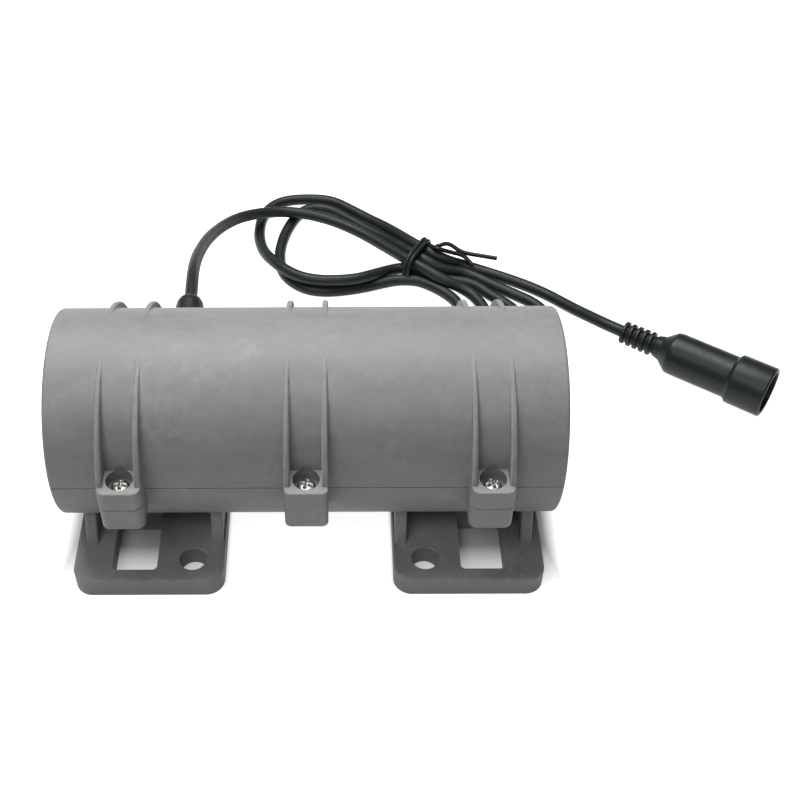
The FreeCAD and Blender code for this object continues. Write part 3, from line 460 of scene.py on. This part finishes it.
def round_curve(name, points, diameter, steps):
    """A round wire on a smooth spline through its control points."""
    curve = bpy.data.curves.new(name, "CURVE")
    curve.dimensions = "3D"
    curve.bevel_depth = diameter / 2
    curve.bevel_resolution = 6
    curve.use_fill_caps = True
    curve.resolution_u = steps
    spline = curve.splines.new("NURBS")
    spline.points.add(len(points) - 1)
    for control, point in zip(spline.points, points):
        control.co = (*point, 1.0)
    spline.order_u = 3
    spline.use_endpoint_u = True
    return curve


# ---------------------------------------------------------------- settings


class HousingSettings(bpy.types.PropertyGroup):
    colour: bpy.props.FloatVectorProperty(
        name="Housing grey", description="Base colour of the moulded housing", subtype="COLOR", size=3,
        min=0.0, max=1.0, default=(0.215, 0.222, 0.212))


class ScrewSettings(bpy.types.PropertyGroup):
    head_radius: bpy.props.FloatProperty(
        name="Head radius", description="Radius of a pan head", subtype="DISTANCE", unit="LENGTH",
        default=2.15 * MM)
    head_height: bpy.props.FloatProperty(
        name="Head height", description="Height of a pan head over its seat", subtype="DISTANCE",
        unit="LENGTH", default=1.5 * MM)
    recess_width: bpy.props.FloatProperty(
        name="Recess width", description="Width of one arm of the cross recess", subtype="DISTANCE",
        unit="LENGTH", default=0.62 * MM)
    recess_reach: bpy.props.FloatProperty(
        name="Recess reach", description="Length of one arm of the cross recess", subtype="DISTANCE",
        unit="LENGTH", default=1.3 * MM)
    shank_length: bpy.props.FloatProperty(
        name="Shank length", description="Length under the head", subtype="DISTANCE", unit="LENGTH",
        default=7.2 * MM)
    shank_radius: bpy.props.FloatProperty(
        name="Shank radius", description="Radius of the shank", subtype="DISTANCE", unit="LENGTH",
        default=1.25 * MM)
    colour: bpy.props.FloatVectorProperty(
        name="Plating", description="Colour of the zinc plating", subtype="COLOR", size=3,
        min=0.0, max=1.0, default=(0.46, 0.455, 0.44))


class LeadSettings(bpy.types.PropertyGroup):
    diameter: bpy.props.FloatProperty(
        name="Lead diameter", description="Diameter of the round lead", subtype="DISTANCE", unit="LENGTH",
        default=3.5 * MM)
    length: bpy.props.FloatProperty(
        name="Lead length", description="Length of the lead from the bend sleeve to the socket",
        subtype="DISTANCE", unit="LENGTH", default=0.74)
    tie_diameter: bpy.props.FloatProperty(
        name="Tie diameter", description="Diameter of the coated tie wire", subtype="DISTANCE",
        unit="LENGTH", default=1.35 * MM)
    colour: bpy.props.FloatVectorProperty(
        name="Lead black", description="Colour of the jacket, sleeve and socket", subtype="COLOR", size=3,
        min=0.0, max=1.0, default=(0.011, 0.015, 0.0155))


class StudioSettings(bpy.types.PropertyGroup):
    floor: bpy.props.FloatVectorProperty(
        name="Floor", description="Colour of the sweep", subtype="COLOR", size=3, min=0.0, max=1.0,
        default=(0.55, 0.55, 0.55))
    floor_lift: bpy.props.FloatProperty(
        name="Floor lift", description="Glow that the camera adds to the floor", default=0.92)
    top_power: bpy.props.FloatProperty(
        name="Top light", description="Power of the overhead soft box", unit="POWER", default=5.4)
    fill_power: bpy.props.FloatProperty(
        name="Fill light", description="Power of the front fill", unit="POWER", default=1.5)
    sky: bpy.props.FloatProperty(
        name="Sky", description="Strength of the even light from all round", default=0.1)


# ---------------------------------------------------------------- pieces


class MOTOR_OT_housing(bpy.types.Operator):
    """Finish the two moulded half shells"""
    bl_idname = "motor.housing"
    bl_label = "Housing"

    def execute(self, context):
        finish_nodes(moulded_housing(context.scene.motor_housing.colour), "upper_shell", "lower_shell")
        return {"FINISHED"}


def recess_depth_at(x, y, half_width, reach):
    """How deep the cross recess is at a point of the head, with steep tapered walls."""
    deep = 0.0
    for along, across in ((x, y), (y, x)):
        inside = min(half_width - abs(across), reach - abs(along))
        deep = max(deep, min(1.0, max(0.0, inside / RECESS_WALL + 0.5)))
    taper = 1.0 - RECESS_TAPER * min(1.0, math.hypot(x, y) / reach)
    return RECESS_DEPTH * deep * taper


def screw_template(settings):
    """One pan-head screw on its own axis, its seat at the origin."""
    builder = bmesh.new()
    height = settings.head_height
    turns = [2 * math.pi * index / SCREW_SEGMENTS for index in range(SCREW_SEGMENTS)]
    dome = []
    for ring in range(HEAD_RINGS, 0, -1):
        share = ring / HEAD_RINGS
        curved = math.sqrt(max(0.0, 1.0 - share ** HEAD_DOME_POWER))
        loop = []
        for turn in turns:
            x = settings.head_radius * share * math.cos(turn)
            y = settings.head_radius * share * math.sin(turn)
            z = height * (HEAD_RIM_SHARE + (1.0 - HEAD_RIM_SHARE) * curved)
            z -= recess_depth_at(x, y, settings.recess_width / 2, settings.recess_reach)
            loop.append(builder.verts.new((x, y, z)))
        dome.append(loop)
    outline = [(0.0, settings.head_radius), (0.0, settings.shank_radius),
               (SCREW_POINT_LENGTH - settings.shank_length, settings.shank_radius),
               (-settings.shank_length, SCREW_POINT_RADIUS)]
    loops = [[builder.verts.new((around * math.cos(turn), around * math.sin(turn), z)) for turn in turns]
             for z, around in outline]
    stack = dome[::-1] + loops
    centre = builder.verts.new((0, 0, height - RECESS_DEPTH))
    tip = builder.verts.new((0, 0, -settings.shank_length))
    for index in range(SCREW_SEGMENTS):
        following = (index + 1) % SCREW_SEGMENTS
        builder.faces.new((centre, stack[0][index], stack[0][following]))
        builder.faces.new((tip, stack[-1][following], stack[-1][index]))
        for first, second in zip(stack, stack[1:]):
            builder.faces.new((first[index], second[index], second[following], first[following]))
    bmesh.ops.recalc_face_normals(builder, faces=builder.faces[:])
    return new_object("screw_template", built_mesh("screw_template", builder))


def screw_places(head_radius):
    """Where the six heads sit: three along the front and three along the back."""
    low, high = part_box("housing_screws")
    return [Vector((x, y, SCREW_SEAT)) for y in (low.y + head_radius, high.y - head_radius)
            for x in (low.x + head_radius, 0.0, high.x - head_radius)]


def instancing_tree(template, material):
    """Geometry Nodes that stand a template on every point, each turned at random about Z."""
    tree = bpy.data.node_groups.new("Screws On Bosses", "GeometryNodeTree")
    tree.interface.new_socket("Geometry", in_out="INPUT", socket_type="NodeSocketGeometry")
    tree.interface.new_socket("Screw", in_out="INPUT", socket_type="NodeSocketObject")
    tree.interface.new_socket("Turn", in_out="INPUT", socket_type="NodeSocketFloat")
    tree.interface.new_socket("Finish", in_out="INPUT", socket_type="NodeSocketMaterial")
    tree.interface.new_socket("Geometry", in_out="OUTPUT", socket_type="NodeSocketGeometry")

    def add(kind, **settings):
        made = tree.nodes.new(kind)
        for key, value in settings.items():
            setattr(made, key, value)
        return made

    def join(output, target):
        tree.links.new(output, target)

    inputs = add("NodeGroupInput")
    outputs = add("NodeGroupOutput")
    points = add("GeometryNodeMeshToPoints")
    screw = add("GeometryNodeObjectInfo")
    stand = add("GeometryNodeInstanceOnPoints")
    turn = add("FunctionNodeRandomValue", data_type="FLOAT")
    spin = add("ShaderNodeCombineXYZ")
    real = add("GeometryNodeRealizeInstances")
    paint = add("GeometryNodeSetMaterial")
    turn.inputs["Seed"].default_value = TURN_SEED
    join(inputs.outputs["Geometry"], points.inputs["Mesh"])
    join(inputs.outputs["Screw"], screw.inputs["Object"])
    join(inputs.outputs["Turn"], turn.inputs[3])
    join(turn.outputs[1], spin.inputs["Z"])
    join(points.outputs["Points"], stand.inputs["Points"])
    join(screw.outputs["Geometry"], stand.inputs["Instance"])
    join(spin.outputs["Vector"], stand.inputs["Rotation"])
    join(stand.outputs["Instances"], real.inputs["Geometry"])
    join(real.outputs["Geometry"], paint.inputs["Geometry"])
    join(inputs.outputs["Finish"], paint.inputs["Material"])
    join(paint.outputs["Geometry"], outputs.inputs["Geometry"])
    values = {"Screw": template, "Turn": 2 * math.pi, "Finish": material}
    return tree, values


def grown(holder, tree, values, name):
    """Run a Geometry Nodes tree on an object and keep its result as a plain mesh piece."""
    modifier = holder.modifiers.new("grow", "NODES")
    modifier.node_group = tree
    for item in tree.interface.items_tree:
        if item.in_out == "INPUT" and item.name in values:
            modifier[item.identifier] = values[item.name]
    mesh = mesh_of(holder)
    mesh.name = name
    holder.modifiers.clear()
    bpy.data.objects.remove(holder)
    return new_object(name, mesh)


class MOTOR_OT_screws(bpy.types.Operator):
    """Stand a pan-head screw in each of the six bosses"""
    bl_idname = "motor.screws"
    bl_label = "Housing screws"

    def execute(self, context):
        settings = context.scene.motor_screws
        template = screw_template(settings)
        material = plated_screw(settings.colour)
        builder = bmesh.new()
        for place in screw_places(settings.head_radius):
            builder.verts.new(place)
        points = new_object("screw_points", built_mesh("screw_points", builder))
        tree, values = instancing_tree(template, material)
        piece = grown(points, tree, values, "pan_head_screws")
        bpy.data.objects.remove(template)
        shade_smooth(piece.data)
        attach(piece, "root")
        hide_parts("housing_screws")
        return {"FINISHED"}


class MOTOR_OT_sleeve(bpy.types.Operator):
    """Finish the rubber bend sleeve where the lead leaves the housing"""
    bl_idname = "motor.sleeve"
    bl_label = "Bend sleeve"

    def execute(self, context):
        colour = context.scene.motor_lead.colour
        finish_nodes(moulded_rubber("sleeve_rubber", colour, 0.45, 1200.0, 0.25), "strain_relief")
        return {"FINISHED"}


def tie_point(along, across, height):
    """A point beside the tie, in millimetres along the lead, across it and above the floor."""
    turned = Matrix.Rotation(TIE_TURN, 3, "Z") @ Vector((along + TIE_SLANT * across, across, 0.0))
    return TIE_CENTRE + (turned + Vector((0.0, 0.0, height))) * MM


def tie_turns(diameter):
    """Control points of the wire round the bundle, in laps side by side."""
    points = []
    for lap in range(TIE_LAPS):
        for step, (across, height) in enumerate(TIE_LAP):
            along = (lap + step / len(TIE_LAP) - TIE_LAPS / 2) * diameter / MM
            points.append(tie_point(along, across, height))
    return points


class MOTOR_OT_tie(bpy.types.Operator):
    """Wrap the twist tie round the bundle and leave its ends standing out"""
    bl_idname = "motor.tie"
    bl_label = "Twist tie"

    def execute(self, context):
        settings = context.scene.motor_lead
        diameter = settings.tie_diameter
        points = in_metres(TIE_SHORT_END[::-1]) + tie_turns(diameter) + in_metres(TIE_LONG_END)
        holder = new_object("tie_path", round_curve("tie_path", points, diameter, 10))
        mesh = mesh_of(holder)
        bpy.data.objects.remove(holder)
        shade_smooth(mesh)
        mesh.materials.append(moulded_rubber("tie_plastic", settings.colour, 0.4, 1800.0))
        piece = new_object("twist_tie_wire", mesh)
        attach(piece, "root")
        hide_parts("twist_tie")
        return {"FINISHED"}


def socket_profile():
    """Outside and mouth of the round socket: grip ridges, neck, shoulder, body, collar and open end."""
    profile = [(0.0, 0.0), (0.0, GRIP_START_RADIUS)]
    for index in range(GRIP_RIDGES):
        start = index * GRIP_PITCH
        crest_radius = GRIP_RIDGE_RADIUS + GRIP_RIDGE_GROWTH * index
        profile += [(start + place, crest_radius) for place in GRIP_CREST]
        profile += [(start + place, GRIP_ROOT_RADIUS) for place in GRIP_ROOT]
    return softened(in_metres(profile + SOCKET_BODY), SOCKET_EDGE)


class MOTOR_OT_socket(bpy.types.Operator):
    """Mould the round in-line socket on the end of the lead"""
    bl_idname = "motor.socket"
    bl_label = "Round socket"

    def execute(self, context):
        colour = context.scene.motor_lead.colour
        builder = bmesh.new()
        direction = Vector((math.cos(SOCKET_TURN), math.sin(SOCKET_TURN), 0.0))
        lathe(builder, socket_profile(), SOCKET_START, direction)
        mesh = built_mesh("round_socket", builder)
        shade_smooth(mesh)
        mesh.materials.append(moulded_rubber("connector_plastic", colour, 0.42, 1300.0, 0.25))
        piece = new_object("round_socket", mesh)
        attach(piece, "root")
        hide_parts("connector_housing")
        finish_nodes(moulded_rubber("connector_insert", colour, 0.5, 2000.0), "socket_insulator")
        finish_nodes(turned_metal("contact_plating", (0.68, 0.66, 0.6), 0.25, 1800.0, "Z"),
                     "socket_sleeve", "socket_pin")
        return {"FINISHED"}


class MOTOR_OT_lead(bpy.types.Operator):
    """Lay the lead from the bend sleeve through the tie to the socket"""
    bl_idname = "motor.lead"
    bl_label = "Lead"

    def execute(self, context):
        settings = context.scene.motor_lead
        curve = round_curve("power_cord", in_metres(LEAD_ROUTE), settings.diameter, 12)
        curve.materials.append(moulded_rubber("cord_jacket", settings.colour, 0.46, 900.0))
        piece = new_object("power_cord", curve)
        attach(piece, "root")
        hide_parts("power_lead", "cable_hank", "connector_lead")
        [value * MM for value in LEAD_ROUTE[0]]
        return {"FINISHED"}


class MOTOR_OT_inner_motor(bpy.types.Operator):
    """Finish the motor inside: can, magnets, brushes, bearings, rotor and weights"""
    bl_idname = "motor.inner_motor"
    bl_label = "Inner motor"

    def execute(self, context):
        finish_nodes(turned_metal("plated_steel", (0.6, 0.59, 0.55), 0.35, 300.0), "motor_can")
        finish_nodes(moulded_rubber("black_nylon", (0.02, 0.02, 0.022), 0.5, 1500.0),
                     "brush_end_cover", "commutator_hub")
        finish_nodes(pressed_powder("ferrite", (0.07, 0.07, 0.075)), "magnet_front", "magnet_back")
        finish_nodes(pressed_powder("carbon", (0.04, 0.04, 0.04), 0.3), "brushes")
        finish_nodes(turned_metal("spring_steel", (0.5, 0.5, 0.5), 0.3), "magnet_clips", "brush_springs")
        finish_nodes(turned_metal("brass_strip", (0.72, 0.52, 0.22), 0.32, 900.0),
                     "brush_holders", "terminals", "shaft_spacer_rear", "shaft_spacer_front")
        finish_nodes(moulded_rubber("red_insulation", (0.5, 0.02, 0.015), 0.35), "red_wire")
        finish_nodes(moulded_rubber("black_insulation", (0.015, 0.015, 0.015), 0.35), "black_wire")
        finish_nodes(turned_metal("bearing_steel", (0.72, 0.72, 0.73), 0.16, 3200.0, "X", 0.05),
                     *[end + part for end in ("rear_bearing", "front_bearing")
                       for part in ("_outer_ring", "_inner_ring", "_balls")])
        finish_nodes(moulded_rubber("cage_nylon", (0.62, 0.56, 0.42), 0.45),
                     "rear_bearing_cage", "front_bearing_cage")
        finish_nodes(turned_metal("ground_steel", (0.66, 0.66, 0.66), 0.22, 2800.0, "X", 0.06), "shaft")
        finish_nodes(stacked_steel("core_steel", (0.32, 0.32, 0.33)), "armature_core")
        finish_nodes(moulded_rubber("core_insulation", (0.7, 0.66, 0.52), 0.6, 800.0, 0.4),
                     "core_insulator_rear", "core_insulator_front")
        finish_nodes(wound_copper("enamelled_copper", (0.62, 0.2, 0.06)), "armature_winding")
        finish_nodes(turned_metal("bare_copper", (0.78, 0.38, 0.22), 0.28), "commutator_bars")
        finish_nodes(turned_metal("weight_steel", (0.42, 0.42, 0.42), 0.38, 700.0),
                     "eccentric_weight_left", "eccentric_weight_right")
        finish_nodes(turned_metal("black_oxide_steel", (0.05, 0.05, 0.05), 0.4, 1600.0, "Z"),
                     "weight_set_screws")
        return {"FINISHED"}


# ---------------------------------------------------------------- stage


def soft_box(name, power, size, place, target):
    """A rectangular soft light that faces a target."""
    lamp = bpy.data.lights.new(name, "AREA")
    lamp.energy = power
    lamp.shape = "RECTANGLE"
    lamp.size, lamp.size_y = size
    holder = new_object(name, lamp)
    holder.location = place
    holder.rotation_mode = "QUATERNION"
    holder.rotation_quaternion = (Vector(target) - Vector(place)).to_track_quat("-Z", "Y")


def stand_camera():
    """A camera a forearm's length away that looks down on the front of the motor."""
    data = bpy.data.cameras.new("camera")
    data.sensor_width = CAMERA_SENSOR
    data.lens = CAMERA_LENS
    data.shift_x, data.shift_y = CAMERA_SHIFT
    data.clip_start, data.clip_end = CAMERA_CLIP
    forward = Vector(CAMERA_LOOKS).normalized()
    right = forward.cross(Vector((0.0, 0.0, 1.0))).normalized()
    rise = right.cross(forward)
    level = right * math.cos(CAMERA_ROLL) + rise * math.sin(CAMERA_ROLL)
    up = rise * math.cos(CAMERA_ROLL) - right * math.sin(CAMERA_ROLL)
    turn = Matrix((level, up, -forward)).transposed().to_4x4()
    camera = new_object("camera", data)
    camera.matrix_world = Matrix.Translation(CAMERA_PLACE) @ turn
    bpy.context.scene.camera = camera


def light_the_world(sky):
    """Even light from all round, which the camera sees as white."""
    world = bpy.data.worlds.new("studio")
    bpy.context.scene.world = world
    world.use_nodes = True
    tree = world.node_tree
    background = tree.nodes["Background"]
    path = tree.nodes.new("ShaderNodeLightPath")
    lift = tree.nodes.new("ShaderNodeMix")
    lift.inputs[2].default_value = sky
    lift.inputs[3].default_value = 1.0
    tree.links.new(path.outputs["Is Camera Ray"], lift.inputs[0])
    tree.links.new(lift.outputs[0], background.inputs["Strength"])
    background.inputs["Color"].default_value = WHITE


class MOTOR_OT_stage(bpy.types.Operator):
    """Set the floor, the lights, the world and the camera"""
    bl_idname = "motor.stage"
    bl_label = "Stage"

    def execute(self, context):
        settings = context.scene.motor_studio
        context.scene.view_settings.view_transform = "Standard"
        builder = bmesh.new()
        bmesh.ops.create_grid(builder, x_segments=1, y_segments=1, size=FLOOR_HALF_WIDTH)
        mesh = built_mesh("floor", builder)
        mesh.materials.append(studio_floor(settings.floor, settings.floor_lift))
        floor = new_object("floor", mesh)
        floor.location.z = shell_low.z - FLOOR_GAP
        target = (0.0, 0.0, shaft_height)
        soft_box("top_light", settings.top_power, TOP_LIGHT_SIZE, TOP_LIGHT_PLACE, target)
        soft_box("fill_light", settings.fill_power, FILL_LIGHT_SIZE, FILL_LIGHT_PLACE, target)
        light_the_world(settings.sky)
        stand_camera()
        return {"FINISHED"}


class MOTOR_PT_looks(bpy.types.Panel):
    """Sizes, colours and steps of the vibration motor"""
    bl_idname = "MOTOR_PT_looks"
    bl_label = "Vibration Motor"
    bl_space_type = "VIEW_3D"
    bl_region_type = "UI"
    bl_category = "Vibration Motor"

    def draw(self, context):
        for name in SETTINGS:
            group = getattr(context.scene, name)
            column = self.layout.column(align=True)
            for key in group.bl_rna.properties.keys():
                if key not in ("rna_type", "name"):
                    column.prop(group, key)
        for step in STEPS:
            self.layout.operator(step.bl_idname)


SETTINGS = {"motor_housing": HousingSettings, "motor_screws": ScrewSettings, "motor_lead": LeadSettings,
            "motor_studio": StudioSettings}
STEPS = (MOTOR_OT_housing, MOTOR_OT_screws, MOTOR_OT_sleeve, MOTOR_OT_tie, MOTOR_OT_socket, MOTOR_OT_lead,
         MOTOR_OT_inner_motor, MOTOR_OT_stage)


def register():
    for group in SETTINGS.values():
        bpy.utils.register_class(group)
    for name, group in SETTINGS.items():
        setattr(bpy.types.Scene, name, bpy.props.PointerProperty(type=group))
    for step in STEPS + (MOTOR_PT_looks,):
        bpy.utils.register_class(step)


def unregister():
    for step in (MOTOR_PT_looks,) + STEPS[::-1]:
        bpy.utils.unregister_class(step)
    for name, group in SETTINGS.items():
        delattr(bpy.types.Scene, name)
        bpy.utils.unregister_class(group)


def main():
    register()
    for step in STEPS:
        family, action = step.bl_idname.split(".")
        getattr(getattr(bpy.ops, family), action)()


if __name__ == "__main__":
    main()
